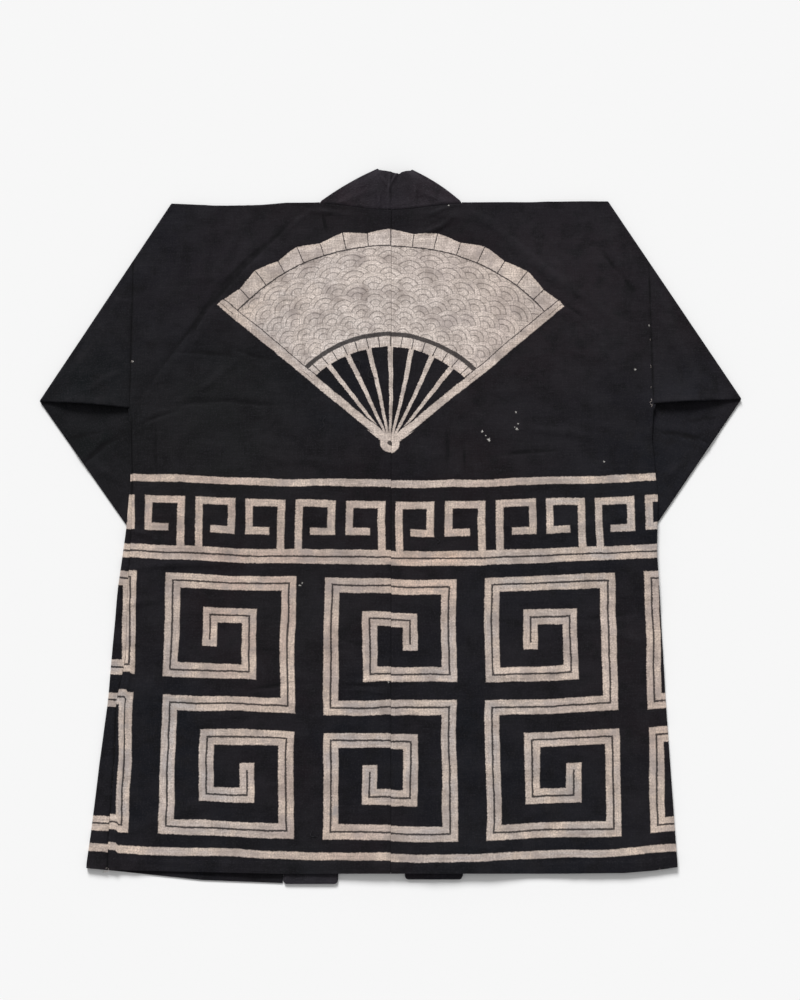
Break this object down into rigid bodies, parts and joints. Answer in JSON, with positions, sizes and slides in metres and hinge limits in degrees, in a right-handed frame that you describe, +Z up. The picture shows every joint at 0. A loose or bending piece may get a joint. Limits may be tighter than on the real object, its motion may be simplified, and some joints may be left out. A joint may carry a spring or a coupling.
{
  "type": "happi coat",
  "caption": "Unlined cotton happi coat lying face down, back up, with both sleeves folded under and a collar band round the neck and down both fronts.",
  "frame": {"origin": "middle of the coat's outline on the surface that it lies on", "axes": "+X across the back to the right as seen from above with the collar away, +Y from hem to collar, +Z up out of the back"},
  "size_m": [0.8823, 0.9045, 0.012],
  "materials": {
    "printed_cotton": "matte resist-dyed indigo cotton with undyed cream motifs",
    "plain_cotton": "matte indigo cotton",
    "collar_cotton": "matte indigo cotton, doubled and pressed"
  },
  "bodies": {
    "root": {"body_left": "printed_cotton", "body_right": "printed_cotton", "sleeve_left": "plain_cotton", "sleeve_right": "plain_cotton", "collar": "collar_cotton"}
  },
  "joints": []
}
